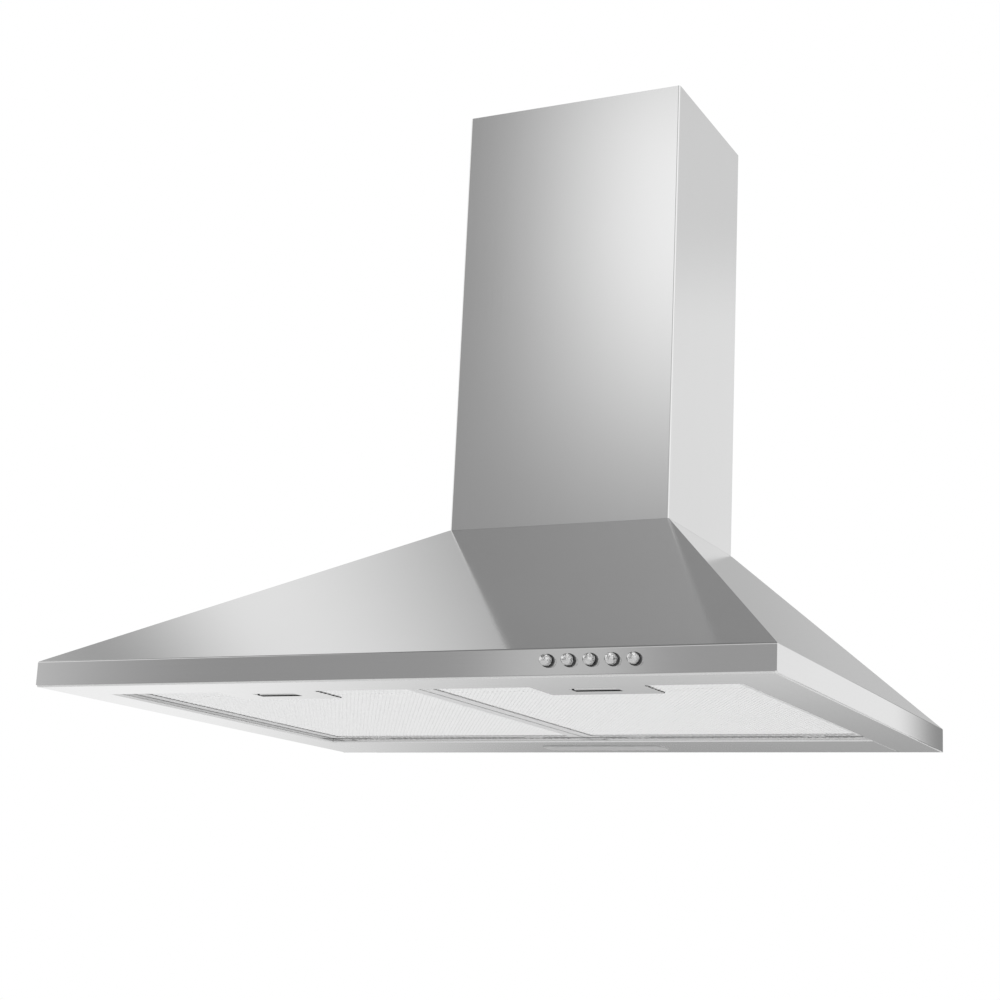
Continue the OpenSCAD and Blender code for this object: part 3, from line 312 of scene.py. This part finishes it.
# Each card has its distance, bearings, heights, tones from left to right, and fades: left, right, bottom and top.
CARDS = {
    "back_low_card": (8.8, (-40, 13), (-13, 7), (0.33, 0.33), ((0.36, 0.03), (0.42, 0.3))),
    "back_card": (9.0, (-40, 13), (-4, 34), (0.56, 0.56), ((0.36, 0.03), (0.1, 0.3))),
    "right_slope_card": (8.6, (-26, -3), (14, 24), (0.50, 0.50), ((0.3, 0.3), (0.3, 0.3))),
    "right_low_card": (8.8, (7, 32), (8, 25), (0.95, 0.95), ((0.3, 0.3), (0.35, 0.25))),
    "right_card": (9.0, (12, 42), (18.5, 45), (0.80, 0.80), ((0.1, 0.3), (0.1, 0.3))),
    "upper_right_card": (8.8, (5, 50), (28, 62), (0.42, 0.42), ((0.3, 0.3), (0.25, 0.3))),
    "upper_card": (9.0, (-62, 11), (24, 62), (0.42, 0.42), ((0.15, 0.3), (0.2, 0.3))),
    "upper_glow": (8.5, (-52, -31), (26, 54), (0.95, 0.95), ((0.33, 0.65), (0.24, 0.24))),
    "high_card": (8.3, (-165, -15), (45, 87), (0.24, 0.24), ((0.08, 0.1), (0.12, 0.1))),
    "front_card": (9.0, (-195, -134), (-14, 66), (0.52, 0.335), ((0.3, 0.21), (0.1, 0.25))),
    "front_top_card": (8.7, (-180, -132), (31, 62), (0.80, 0.28), ((0.2, 0.2), (0.23, 0.3))),
    "front_low_card": (8.8, (-148, -112), (-42, -12), (0.22, 0.22), ((0.3, 0.2), (0.2, 0.2))),
    "far_right_card": (8.7, (45, 178), (36, 64), (0.45, 0.45), ((0.1, 0.1), (0.12, 0.2))),
    "front_glow": (8.5, (-172, -151.3), (10, 36), (1.22, 1.22), ((0.4, 0.45), (0.54, 0.38))),
    "rim_glow": (8.4, (-162.5, -154.5), (3, 12), (0.68, 0.68), ((0.4, 0.4), (0.35, 0.35))),
    "side_glow": (8.6, (62, 150), (6, 40), (1.25, 1.25), ((0.2, 0.2), (0.25, 0.25))),
}
for card_name, (distance, bearings, heights, tones, fades) in CARDS.items():
    card_on_stage(card_name, *sphere_patch(bearings, heights, distance, CARD_STEPS), tones, fades)
print("cards", list(CARDS))

# %% [markdown]
# One more card is small and close. It stands just behind the wall's plane at the hood's right rear corner, so only the
# last hand's breadth of the side rim shows it. It fades out away from the hood, so the rim darkens gradually.

# %% Corner card
CORNER_CARD_X, CORNER_CARD_Y, CORNER_CARD_Z = (0.302, 0.352), 0.03, (-0.03, 0.12)
corner_x, corner_z = np.meshgrid(CORNER_CARD_X, CORNER_CARD_Z, indexing="ij")
corner_points = np.stack([corner_x, np.full_like(corner_x, CORNER_CARD_Y), corner_z], axis=-1)
corner_uv = np.stack(np.meshgrid((0.0, 1.0), (0.0, 1.0), indexing="ij"), axis=-1)
card_on_stage("corner_card", corner_points, corner_uv, (0.33, 0.33), ((0.0, 0.9), (0.0, 0.0)))
print("corner card", CORNER_CARD_X)

# %% [markdown]
# ## Brushed steel
# The sheet is rubbed with a belt, which leaves fine parallel scratches. They smear a reflection across the grain and
# leave it sharp along the grain. The pattern is noise drawn out 250 times longer along the grain than across it, once
# fine and once coarse, and it feeds a small bump, the roughness and a little of the colour. The grain runs along the
# length of each sheet, so one function takes the direction.

# %% Brushed steel
DRAWN_OUT = 1 / 250
GRAIN_ALONG = {"x": (DRAWN_OUT, 1, 1), "y": (1, DRAWN_OUT, 1), "z": (1, 1, DRAWN_OUT)}
FINE_LINES, COARSE_LINES, CLOUDS = 5200, 900, 7      # to the metre

def brushed_steel(name, grain, tone=0.70, roughness=0.09):
    """Stainless sheet with its grain along one axis."""
    finish = Finish(name)
    fine = finish.noise(FINE_LINES, GRAIN_ALONG[grain], detail=2.0)
    coarse = finish.noise(COARSE_LINES, GRAIN_ALONG[grain], detail=3.0)
    cloud = finish.noise(CLOUDS, detail=2.0)
    scratches = fine * 0.5 + coarse * 0.5
    bump = finish.node("Bump", {}, {"Strength": 0.05, "Distance": 0.0001, "Height": scratches})
    colour = finish.blend(scratches * 0.6 + cloud * 0.4, grey(tone * 0.94, 0.004), grey(tone * 1.06, -0.004))
    return finish.surface(finish.node("BsdfPrincipled", {}, {
        "Base Color": colour, "Metallic": 1.0, "Roughness": scratches * 0.06 + cloud * 0.02 + (roughness - 0.04),
        "Normal": bump}))


steel_x = brushed_steel("brushed_steel_across", "x")
steel_y = brushed_steel("brushed_steel_deep", "y")
steel_z = brushed_steel("brushed_steel_upright", "z")
print("brushed steel", steel_x.name, steel_y.name, steel_z.name)

# %% [markdown]
# ## Galvanised sheet
# The blower's housing, the top and back panels and the brackets are zinc-coated. Zinc sets in flat crystals, each a
# slightly different grey, and a Voronoi pattern gives such cells. Their shine differs from cell to cell too.

# %% Galvanised sheet
CRYSTALS, DUST = 95.0, 40.0      # to the metre


def galvanised(name, tone=0.62):
    """Zinc coating with its flat crystals."""
    finish = Finish(name)
    place = finish.node("TexCoord", out="Object")
    cells = finish.node("TexVoronoi", {}, {"Vector": place, "Scale": CRYSTALS}, out="Color")
    crystal = finish.node("SeparateColor", {}, {0: cells})
    dust = finish.noise(DUST, detail=3.0)
    shade = crystal * 0.7 + dust * 0.3
    return finish.surface(finish.node("BsdfPrincipled", {}, {
        "Base Color": finish.blend(shade, grey(tone * 0.86, -0.01), grey(tone * 1.08, -0.01)),
        "Metallic": 1.0, "Roughness": shade * 0.16 + 0.30}))


zinc_sheet = galvanised("galvanised_sheet")
print("galvanised", zinc_sheet.name)

# %% [markdown]
# ## Plain metals
# Screws are zinc plated, the shaft is ground, and the filters are mill-finished aluminium, which is lighter than steel
# and a little milky. Each is metal with a fine mottling, so one function takes their tone, shine and size of mottling.

# %% Plain metals
def plain_metal(name, tone, roughness, mottle=60.0, depth=0.08, warmth=0.0):
    """Metal with a fine mottling in its colour and shine."""
    finish = Finish(name)
    spots = finish.noise(mottle, detail=4.0)
    scuffs = finish.noise(mottle * 12, detail=2.0)
    mix = spots * 0.6 + scuffs * 0.4
    bump = finish.node("Bump", {}, {"Strength": 0.08, "Distance": 0.0001, "Height": scuffs})
    return finish.surface(finish.node("BsdfPrincipled", {}, {
        "Base Color": finish.blend(mix, grey(tone * (1 - depth), warmth), grey(tone * (1 + depth), warmth)),
        "Metallic": 1.0, "Roughness": mix * 0.12 + (roughness - 0.06), "Normal": bump}))


zinc_screw = plain_metal("zinc_screw", 0.66, 0.32, 300.0)
shaft_steel = plain_metal("shaft_steel", 0.55, 0.18, 200.0)
impeller_metal = plain_metal("impeller_metal", 0.60, 0.38, 50.0)
filter_aluminium = plain_metal("filter_aluminium", 0.80, 0.46, 35.0, 0.03)
mesh_aluminium = plain_metal("mesh_aluminium", 0.95, 0.36, 90.0, 0.03)
print("plain metals ready")

# %% [markdown]
# The buttons are chromed plastic. The plating is thin and follows the moulding's small waves, so instead of one clean
# picture of the room they show a broken one, in white and dark patches. A noise of about two millimetres does that.

# %% Chrome plating
def plated(name, tone, wave=520.0):
    """Bright plating over a slightly wavy moulding."""
    finish = Finish(name)
    waves = finish.noise(wave, detail=1.5)
    haze = finish.noise(900.0, detail=3.0)
    bump = finish.node("Bump", {}, {"Strength": 0.8, "Distance": 0.0012, "Height": waves})
    return finish.surface(finish.node("BsdfPrincipled", {}, {
        "Base Color": finish.blend(haze, grey(tone * 0.82), grey(tone * 1.14)), "Metallic": 1.0,
        "Roughness": haze * 0.08 + 0.03, "Normal": bump}))


chrome = plated("button_chrome", 0.62)
print("plating", chrome.name)

# %% [markdown]
# ## Plastics, rubber, paint and board
# The moulded parts have a fine grain in their surface that breaks up the shine. A fine noise as a bump does that, and
# a slower one varies the roughness, as handling and dust do.

# %% Moulded parts
def moulded(name, colour, roughness, grain=1400.0, depth=0.05):
    """Plastic, rubber or paint with a fine grain, in one colour that varies by a few hundredths."""
    finish = Finish(name)
    pimples = finish.noise(grain, detail=2.0)
    handled = finish.noise(25.0, detail=3.0)
    bump = finish.node("Bump", {}, {"Strength": 0.12, "Distance": 0.0002, "Height": pimples})
    dark = tuple(c * (1 - depth) for c in colour[:3]) + (1.0,)
    light = tuple(min(1.0, c * (1 + depth)) for c in colour[:3]) + (1.0,)
    return finish.surface(finish.node("BsdfPrincipled", {}, {
        "Base Color": finish.blend(handled, dark, light), "Roughness": handled * 0.16 + (roughness - 0.08),
        "Normal": bump}))


black_plastic = moulded("black_plastic", (0.022, 0.022, 0.024), 0.42, depth=0.2)
white_plastic = moulded("white_plastic", (0.72, 0.72, 0.70), 0.40)
bush_rubber = moulded("bush_rubber", (0.03, 0.03, 0.03), 0.65, depth=0.2)
motor_paint = moulded("motor_paint", (0.10, 0.105, 0.11), 0.38, 500.0, 0.15)
lead_jacket = moulded("lead_jacket", (0.60, 0.60, 0.58), 0.45)
board_green = moulded("board", (0.62, 0.64, 0.62), 0.45, 700.0)
led_phosphor = moulded("led_phosphor", (0.85, 0.72, 0.22), 0.35, 900.0)
print("moulded parts ready")

# %% [markdown]
# ## The lamp's cover
# The cover is milky plastic, frosted on its outside. Light goes in and scatters, so it takes some transmission under
# a rough skin. The numbers that are the same everywhere are set on the shader itself.

# %% Frosted cover
def frosted(name):
    """Milky plastic with a frosted skin."""
    finish = Finish(name)
    frost = finish.noise(2200.0, detail=2.0)
    bump = finish.node("Bump", {}, {"Strength": 0.25, "Distance": 0.0001, "Height": frost})
    return finish.surface(finish.node("BsdfPrincipled", {}, {
        "Base Color": finish.blend(frost, grey(0.70), grey(0.78)), "Roughness": frost * 0.1 + 0.30,
        "Transmission Weight": 0.15, "IOR": 1.49, "Normal": bump}))


lens_plastic = frosted("lens_plastic")
print("cover", lens_plastic.name)

# %% [markdown]
# ## Dressing the frame
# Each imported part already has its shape, so it only needs its finish. One table goes by the record's material slots,
# where steel has its grain across the hood. The other names the steel parts whose grain runs another way.

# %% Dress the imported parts
SLOT_FINISH = {
    "galvanised_sheet": zinc_sheet, "zinc_screw": zinc_screw, "shaft_steel": shaft_steel, "motor_paint": motor_paint,
    "bush_rubber": bush_rubber, "impeller_metal": impeller_metal, "black_plastic": black_plastic,
    "white_plastic": white_plastic, "lens_plastic": lens_plastic, "board": board_green,
    "led_phosphor": led_phosphor, "filter_aluminium": filter_aluminium, "mesh_aluminium": mesh_aluminium,
    "button_chrome": chrome, "lead_jacket": lead_jacket, "brushed_steel": steel_x,
}
STEEL_GRAIN = {"canopy_left": steel_y, "canopy_right": steel_y, "chimney_cover": steel_z, "chimney_extension": steel_z}

node_slots = {part["node"]: part["material_slot"] for part in frame["record"]["subparts"]}
for node_name, node_object in frame["nodes"].items():
    node_object.data.materials.clear()
    node_object.data.materials.append(STEEL_GRAIN.get(node_name) or SLOT_FINISH[node_slots[node_name]])
print("dressed", len(frame["nodes"]), "parts in", len(set(node_slots.values())), "finishes")

# %% [markdown]
# ## Buttons and their sleeves
# Each button is turned: a straight shank with a domed end. A black sleeve with a narrow collar lines its hole, and from
# the side the collar shows as a dark crescent. That black is partly a plastic part and partly painted shade for the
# shadow gap round the button. Both are profiles of radius and distance in front of the rim, carried round the button's
# axis. The box of the imported button gives the axis, the radius and the tip.

# %% Turned pieces
ROUND_STEPS = 40
TURNED_CREASE = radians(40)
RIM_FACE_Y = -480 * MM


def closed_object(name, points, faces, finish, crease):
    """Merges the points that fall together at a pole, turns all faces outwards, and shades smooth up to a crease."""
    shell = bmesh.new()
    corners = [shell.verts.new(point) for point in points.tolist()]
    for face in faces:
        shell.faces.new([corners[index] for index in face])
    bmesh.ops.remove_doubles(shell, verts=shell.verts, dist=1e-6)
    bmesh.ops.recalc_face_normals(shell, faces=shell.faces)
    mesh = bpy.data.meshes.new(name)
    shell.to_mesh(mesh)
    shell.free()
    mesh.materials.append(finish)
    mesh.shade_smooth()
    mesh.set_sharp_from_angle(angle=crease)
    return linked(name, mesh)


def turned(name, profile, axis_x, axis_z, finish):
    """Carries a closed profile round an axis along y: x and z are the radius times the cosine and the sine of the
    angle, and y lies ahead of the rim."""
    radius, ahead = np.array(profile).T[..., None]
    angle = np.linspace(0, 2 * pi, ROUND_STEPS, endpoint=False)
    points = np.stack([axis_x + radius * np.cos(angle), np.repeat(RIM_FACE_Y - ahead, ROUND_STEPS, 1),
                       axis_z + radius * np.sin(angle)], axis=-1)
    faces = grid_faces(len(profile), ROUND_STEPS, wrap=True).tolist()
    return closed_object(name, points.reshape(-1, 3), faces, finish, TURNED_CREASE)


def quarter(centre, across, ahead, steps):
    """A quarter of an ellipse, from its side to its end: the two half axes times the cosine and the sine."""
    turn = np.linspace(0, pi / 2, steps)
    return list(zip(centre[0] + across * np.cos(turn), centre[1] + ahead * np.sin(turn)))


DOME, DOME_ACROSS, DOME_STEPS, SHOULDER = 3.9 * MM, 3.7 * MM, 9, -2.0 * MM
COLLAR_R, COLLAR_AHEAD, COLLAR_ROUND, COLLAR_STEPS = 4.7 * MM, 1.5 * MM, 0.35 * MM, 5
SLEEVE_R, SLEEVE_DEEP, SLEEVE_GAP = 4.45 * MM, 0.7 * MM, 0.06 * MM
for number in range(1, 6):
    node = f"button_{number}"
    (x0, tip_y, z0), (x1, rear_y, z1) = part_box(node)
    axis_x, axis_z, radius, tip = (x0 + x1) / 2, (z0 + z1) / 2, (x1 - x0) / 2, RIM_FACE_Y - tip_y
    stem_end = RIM_FACE_Y - rear_y
    shank = [(0.0, stem_end), (radius / 2, stem_end), (radius / 2, SHOULDER), (radius, SHOULDER), (radius, tip - DOME)]
    dome = quarter((radius - DOME_ACROSS, tip - DOME), DOME_ACROSS, DOME, DOME_STEPS)[1:]
    knob = turned(f"button_knob_{number}", shank + dome + [(0.0, tip)], axis_x, axis_z, chrome)
    inner = radius + SLEEVE_GAP
    collar = [(inner, -SLEEVE_DEEP), (SLEEVE_R, -SLEEVE_DEEP), (SLEEVE_R, 0.0), (COLLAR_R, 0.0)]
    collar += quarter((COLLAR_R - COLLAR_ROUND, COLLAR_AHEAD - COLLAR_ROUND), COLLAR_ROUND, COLLAR_ROUND, COLLAR_STEPS)
    # The sleeve's black collar is partly painted shade: it stands for the shadow gap round the button.
    shade_sleeve = turned(f"button_shade_sleeve_{number}", collar + [(inner, COLLAR_AHEAD), (inner, -SLEEVE_DEEP)],
                    axis_x, axis_z, black_plastic)
    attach(knob, node)
    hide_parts(node)
    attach(shade_sleeve, "hood")
print("buttons", [round(value / MM, 2) for value in (radius, tip)])

# %% [markdown]
# ## The lamp's moulded cover
# The cover is one moulding with round corners and a soft lower edge. Its outline is a rectangle with round corners, and
# each step of the profile draws that outline inwards and moves it up or down. Drawn inwards, a round corner keeps its
# middle and loses radius, so all the outlines have the same number of points and join into one skin.

# %% Lamp cover
CORNER_R, EDGE_R, FLANGE = 7.0 * MM, 0.85 * MM, 3.7 * MM
CORNER_STEPS, EDGE_STEPS = 10, 6
COVER_CREASE = radians(50)


def round_outline(half_x, half_y, radius, inset):
    """Points round a rectangle whose corners are quarters of a circle, all drawn inwards by the inset."""
    turn = np.linspace(0, pi / 2, CORNER_STEPS)
    sides = np.arange(4)[:, None]
    angle = (sides * pi / 2 + turn).reshape(-1)
    middle_x = np.where((sides == 0) | (sides == 3), 1, -1) * (half_x - radius)
    middle_y = np.where(sides < 2, 1, -1) * (half_y - radius)
    return (np.repeat(middle_x, CORNER_STEPS) + (radius - inset) * np.cos(angle),
            np.repeat(middle_y, CORNER_STEPS) + (radius - inset) * np.sin(angle))


(x0, y0, z0), (x1, y1, z1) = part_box("lamp_cover")


def cover_ring(inset, height):
    """The cover's outline, drawn inwards by the inset, at a height."""
    ring_x, ring_y = round_outline((x1 - x0) / 2, (y1 - y0) / 2, CORNER_R, inset)
    return np.stack([(x0 + x1) / 2 + ring_x, (y0 + y1) / 2 + ring_y, np.full_like(ring_x, height)], axis=-1)


steps = [(FLANGE, z1), (FLANGE, 0.0), (0.0, 0.0)]
steps += [(EDGE_R - out, z0 + EDGE_R - down) for out, down in quarter((0.0, 0.0), EDGE_R, EDGE_R, EDGE_STEPS)]
rings = [cover_ring(*step) for step in steps]
around = len(rings[0])
skin = grid_faces(len(rings), around, wrap=True).tolist()
skin += [list(range(around)), list(range((len(rings) - 1) * around, len(rings) * around))]
cover = closed_object("lamp_cover_moulding", np.concatenate(rings), skin, lens_plastic, COVER_CREASE)
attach(cover, "hood")
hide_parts("lamp_cover")
print("lamp cover", len(cover.data.polygons))

# %% [markdown]
# ## Expanded metal
# A grease filter is a stack of expanded aluminium. The sheet is slit in staggered rows and pulled open, so it becomes
# zigzag strands that meet at knuckles, and every strand leans over. Each strand here is a three-cornered ribbon carried
# along a zigzag from front to rear. All the strands of a layer are worked out at once: the first parameter counts the
# strands, the second the steps along them, and the third goes round the ribbon. Every layer counts its strands and
# steps from the same origin, so the pieces of a layer that pass the latch on either side fit each other.

# %% Expanded metal
def expanded_sheet(x_span, y_span, z_low, long_way, short_way, ribbon, thick, lean):
    """Zigzag strands that fill a rectangle. Along y a strand swings by a quarter of the short way, first one way and
    then the other every half long way, and the next strand swings against it, so they meet. The corners of a strand
    are the ribbon's two edges and the ridge behind its middle, turned by the lean about y."""
    reach = short_way / 4 + ribbon / 2
    first, last = np.ceil((x_span[0] + reach) * 2 / short_way), np.floor((x_span[1] - reach) * 2 / short_way)
    nearest, farthest = np.floor(y_span[0] * 2 / long_way), np.ceil(y_span[1] * 2 / long_way)
    j, i = np.meshgrid(np.arange(first, last + 1), np.arange(nearest, farthest + 1), indexing="ij")
    x = j * short_way / 2 + short_way / 4 * (-1.0) ** (i + j)
    y = np.clip(i * long_way / 2, *y_span)
    corner_x, corner_z = np.array([-ribbon / 2, ribbon / 2, 0.0]), np.array([0.0, 0.0, thick])
    turned_x = corner_x * cos(lean) - corner_z * sin(lean)
    turned_z = corner_z * cos(lean) + corner_x * sin(lean)
    return np.stack([x[..., None] + turned_x, np.repeat(y[..., None], 3, axis=-1),
                     np.broadcast_to(z_low + turned_z - turned_z.min(), x.shape + (3,))], axis=-1)


def strand_faces(rows, columns, corners):
    """Quads round and along every strand, and a cap on each of its two ends."""
    one = grid_faces(columns, corners, wrap=True)
    starts = np.arange(rows) * columns * corners
    sides = (starts[:, None, None] + one).reshape(-1, 4)
    near = starts[:, None] + np.arange(corners)
    far = starts[:, None] + (columns - 1) * corners + np.arange(corners)[::-1]
    return sides.tolist() + near.tolist() + far.tolist()


def expanded_metal(name, patches, finish):
    """One object from several sheets of expanded metal."""
    points, faces, count = [], [], 0
    for patch in patches:
        sheet = expanded_sheet(*patch)
        faces += [[corner + count for corner in face] for face in strand_faces(*sheet.shape[:3])]
        points.append(sheet.reshape(-1, 3))
        count += len(points[-1])
    return mesh_object(name, np.concatenate(points), faces, finish)


# Each kind of sheet has its long way, short way, ribbon, thickness and lean.
FINE = (6.2 * MM, 3.6 * MM, 1.35 * MM, 0.3 * MM, radians(28))
SECOND = (6.2 * MM, 3.6 * MM, 1.35 * MM, 0.3 * MM, radians(-24))
COARSE = (12 * MM, 7 * MM, 2.2 * MM, 0.4 * MM, radians(-32))
print("strands, steps and corners in 100 mm", expanded_sheet((0.0, 0.1), (0.0, 0.1), 0.0, *FINE).shape[:3])

# %% [markdown]
# ## The layers of a grease filter
# Two fine sheets that lean against each other face the cooker, and two coarse ones fill the rest of the frame. The
# latch's hollow cuts into the stack from the front, so a fine layer is three rectangles that leave it free, and the
# coarse ones stay behind it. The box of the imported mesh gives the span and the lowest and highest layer.

# %% Layers of a grease filter
SECOND_UP, COARSE_UP, LAST_DOWN = 1.3 * MM, 2.8 * MM, 1.7 * MM
NOTCH_MIDDLE, NOTCH_HALF, NOTCH_REAR = 135.5 * MM, 19.7 * MM, -379.8 * MM


def round_the_latch(box, middle):
    """The three rectangles of a layer: behind the latch's hollow, and on its left and right."""
    (x0, y0, _), (x1, y1, _) = box
    return [((x0, x1), (NOTCH_REAR, y1)), ((x0, middle - NOTCH_HALF), (y0, NOTCH_REAR)),
            ((middle + NOTCH_HALF, x1), (y0, NOTCH_REAR))]


for side, sign in (("left", -1), ("right", 1)):
    node = "filter_mesh_" + side
    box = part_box(node)
    z0, z1 = box[0][2], box[1][2]
    patches = round_the_latch(box, sign * NOTCH_MIDDLE)
    behind = patches[0]
    screen = expanded_metal("filter_screen_" + side, [patch + (z0,) + FINE for patch in patches], mesh_aluminium)
    inner = expanded_metal("filter_inner_" + side, [patch + (z0 + SECOND_UP,) + SECOND for patch in patches],
                           mesh_aluminium)
    stack = expanded_metal("filter_stack_" + side, [behind + (z,) + COARSE for z in (z0 + COARSE_UP, z1 - LAST_DOWN)],
                           mesh_aluminium)
    for piece in (screen, inner, stack):
        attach(piece, "filter_" + side)
        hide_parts(node)
    print(side, [len(piece.data.polygons) for piece in (screen, inner, stack)])

# %% [markdown]
# ## Size and finish
# Nothing that was added may reach past the imported hood.

# %% Size and finish
print("scene built")
